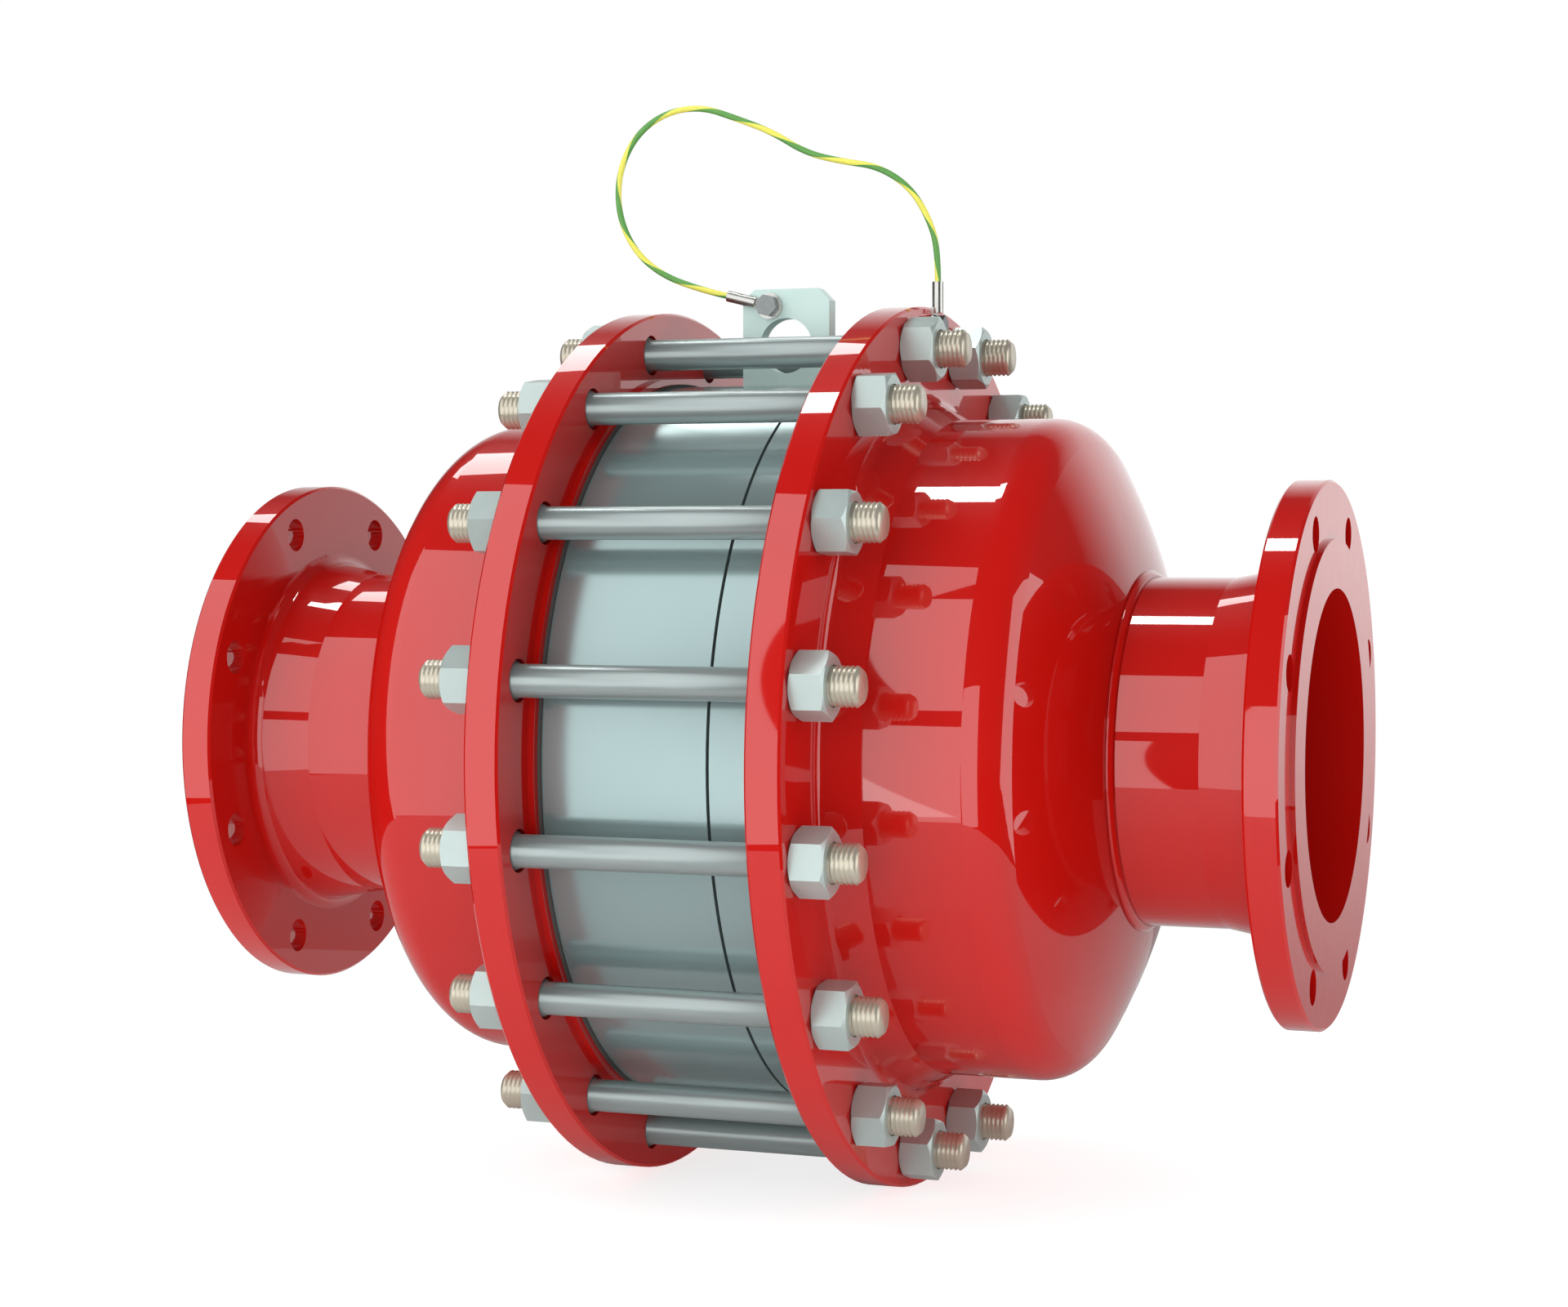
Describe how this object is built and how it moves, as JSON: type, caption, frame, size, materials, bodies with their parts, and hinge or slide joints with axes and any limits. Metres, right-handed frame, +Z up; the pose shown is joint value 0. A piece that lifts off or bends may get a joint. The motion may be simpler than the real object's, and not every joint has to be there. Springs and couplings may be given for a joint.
{
  "type": "in-line detonation flame arrester",
  "caption": "In-line flame arrester: flanged red housings clamp a grey filter cage with long tie studs; lifting lug and earthing cable on top.",
  "frame": {"origin": "centre of the inlet pipe flange's raised face, on the pipe axis", "axes": "+X along the pipe axis from inlet to outlet, +Z up through the lifting lug, +Y to the back as seen from the side with the lug's terminal"},
  "size_m": [0.72, 0.565, 0.702],
  "materials": {
    "housing_paint": "glossy two-coat red paint under a clear coat",
    "gasket": "compressed fibre sheet",
    "nut_zinc": "zinc plated, bright",
    "grid_steel": "plain steel bar",
    "cage_steel": "pale grey semi-gloss coating on machined steel",
    "seal": "dark fibre seal, recessed",
    "screw_steel": "dark zinc plated",
    "ribbon_steel": "crimped stainless ribbon",
    "stud_steel": "zinc plated rod with rolled threads",
    "terminal_tin": "tinned copper",
    "cable_sheath": "green and yellow striped sheath"
  },
  "bodies": {
    "cage_and_inlet": {"inlet_pipe_flange": "housing_paint", "inlet_neck_pipe": "housing_paint", "inlet_guide_tube": "housing_paint", "inlet_dished_end": "housing_paint", "inlet_shell": "housing_paint", "inlet_body_flange": "housing_paint", "inlet_gasket": "gasket", "inlet_nuts": "nut_zinc", "inlet_support_grid": "grid_steel", "outlet_gasket": "gasket", "outlet_support_grid": "grid_steel", "cage_body": "cage_steel", "cage_cover_ring": "cage_steel", "lifting_lug": "cage_steel", "cage_seal": "seal", "cage_screws": "screw_steel", "filter_disc_1": "ribbon_steel", "filter_disc_2": "ribbon_steel", "filter_disc_3": "ribbon_steel", "filter_disc_4": "ribbon_steel", "filter_cores": "ribbon_steel", "spacer_1": "grid_steel", "spacer_2": "grid_steel", "spacer_3": "grid_steel", "tie_studs": "stud_steel", "lug_terminal": "terminal_tin", "lug_washer": "terminal_tin", "lug_screw": "screw_steel", "lug_nut": "screw_steel", "earth_cable": "cable_sheath"},
    "outlet_housing": {"outlet_pipe_flange": "housing_paint", "outlet_neck_pipe": "housing_paint", "outlet_guide_tube": "housing_paint", "outlet_dished_end": "housing_paint", "outlet_shell": "housing_paint", "outlet_body_flange": "housing_paint", "outlet_nuts": "nut_zinc", "flange_terminal": "terminal_tin", "flange_washer": "terminal_tin", "flange_screw": "screw_steel"}
  },
  "joints": [
    {"name": "outlet_slide", "type": "slide", "parent": "cage_and_inlet", "child": "outlet_housing", "axis": [1, 0, 0], "range_m": [0, 0.017], "deforming": ["earth_cable"]}
  ]
}
